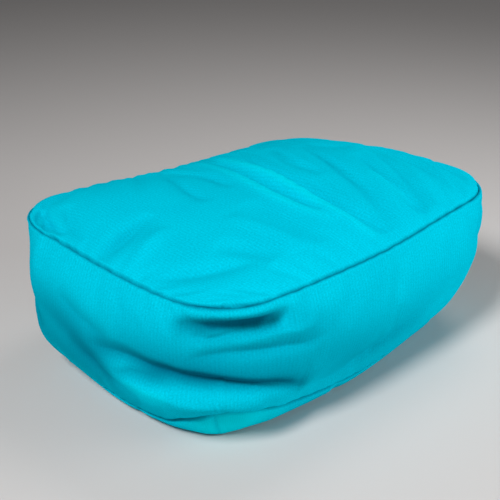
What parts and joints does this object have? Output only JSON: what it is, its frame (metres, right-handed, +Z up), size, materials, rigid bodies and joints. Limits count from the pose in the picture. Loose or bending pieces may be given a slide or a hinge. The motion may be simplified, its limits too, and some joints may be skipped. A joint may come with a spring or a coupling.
{
  "type": "positioning cushion",
  "caption": "Filled block cushion with rounded corners: top and base panels sewn to a side band, crowned on top and creased by its filling, lying on its base.",
  "frame": {"origin": "middle of the bounding box's bottom, on the floor that the base panel rests on", "axes": "+X along the long way of the cushion, +Y along its width, +Z up through the crown"},
  "size_m": [0.421, 0.3248, 0.1652],
  "materials": {
    "cloth": "smooth woven polyester in turquoise with a faint rib and a soft sheen"
  },
  "bodies": {
    "root": {"cushion": "cloth"}
  },
  "joints": []
}
